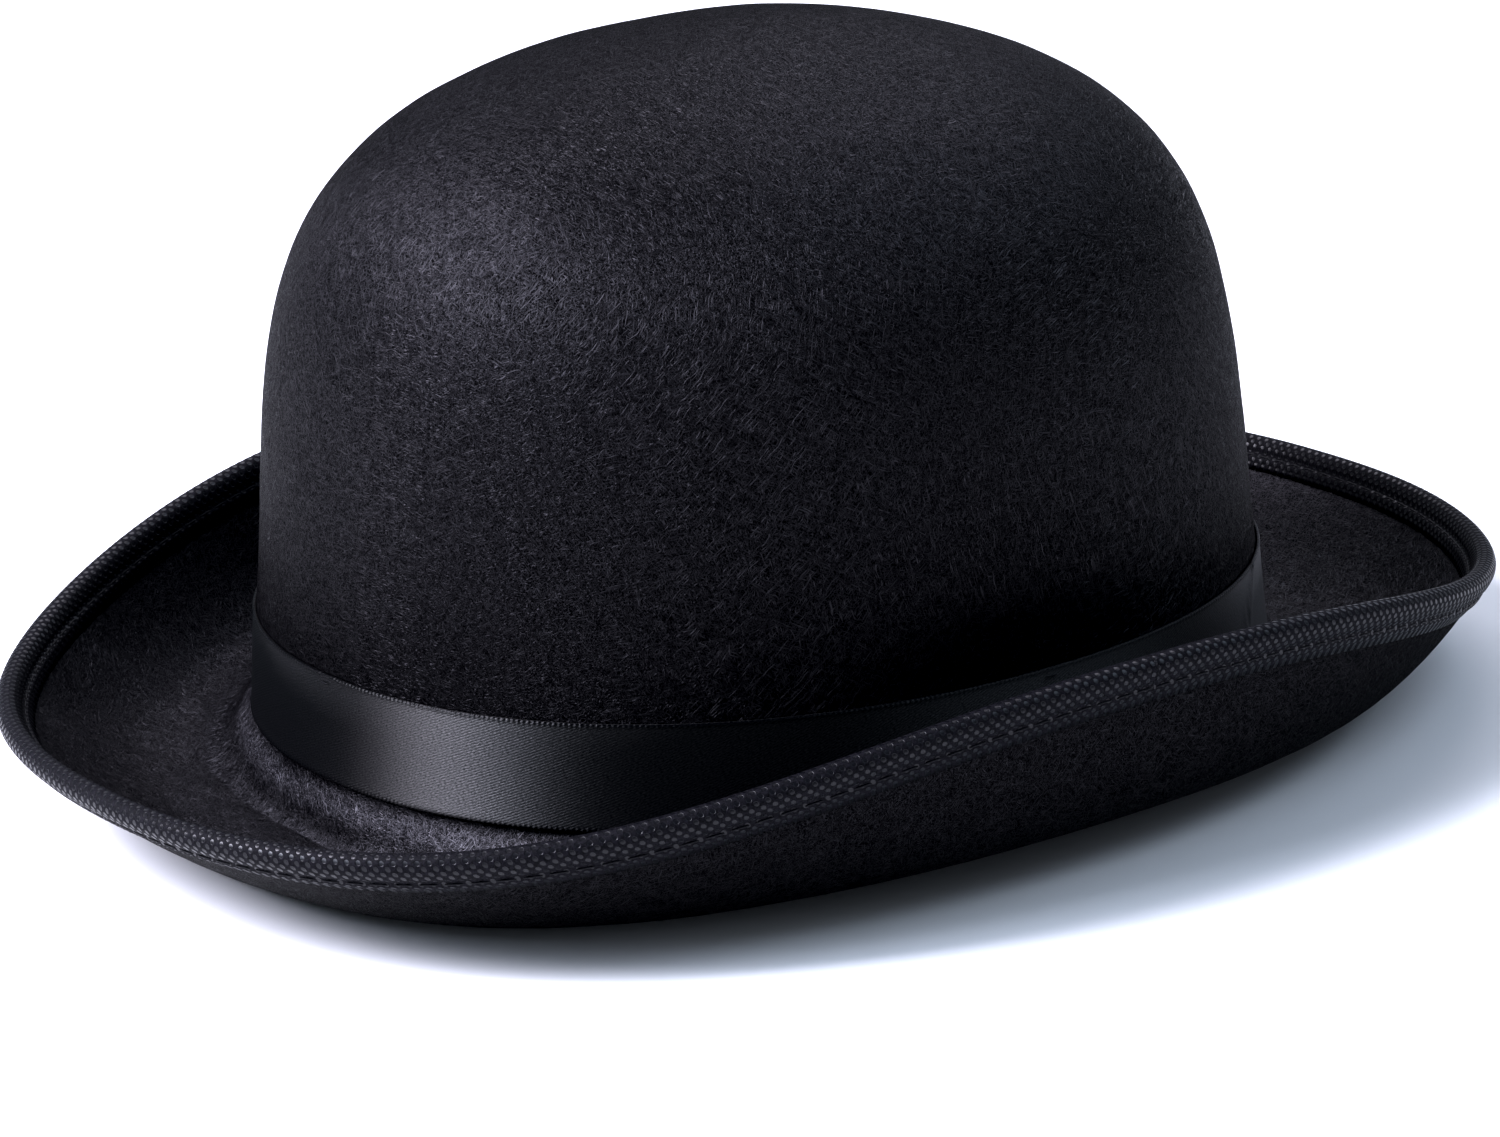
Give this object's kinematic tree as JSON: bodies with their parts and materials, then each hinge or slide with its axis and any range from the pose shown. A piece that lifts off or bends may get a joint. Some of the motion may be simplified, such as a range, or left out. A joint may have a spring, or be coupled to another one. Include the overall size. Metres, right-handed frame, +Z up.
{
  "type": "bowler hat",
  "caption": "Black felt bowler hat with a round crown, a curled brim with bound edge, a satin ribbon band, a sweatband and a white sizing strip inside.",
  "frame": {"origin": "on the surface that the hat stands on, under the middle of the crown", "axes": "+Z up through the crown, -Y towards the front of the hat, +X towards the wearer's left"},
  "size_m": [0.236, 0.303, 0.1395],
  "materials": {
    "felt": "matte needle felt with a short brushed nap",
    "binding_tape": "woven tape with a slight gloss",
    "binding_thread": "twisted sewing thread",
    "satin_ribbon": "glossy single-face satin",
    "ribbon_thread": "twisted sewing thread",
    "sweatband_cloth": "ribbed cotton band",
    "seam_thread": "twisted sewing thread",
    "velour_foam": "white brushed velour on thin foam",
    "label_satin": "plain white label satin",
    "label_thread": "white sewing thread"
  },
  "bodies": {
    "root": {"felt_body": "felt", "edge_binding": "binding_tape", "binding_needle_thread": "binding_thread", "binding_bobbin_thread": "binding_thread", "hat_band": "satin_ribbon", "band_lap_thread": "ribbon_thread", "band_tack_front": "ribbon_thread", "band_tack_left": "ribbon_thread", "band_tack_back": "ribbon_thread", "sweatband": "sweatband_cloth", "sweatband_thread": "seam_thread", "sweatband_lap_thread": "seam_thread", "sizing_strip": "velour_foam", "care_label": "label_satin", "care_label_thread": "label_thread"}
  },
  "joints": []
}
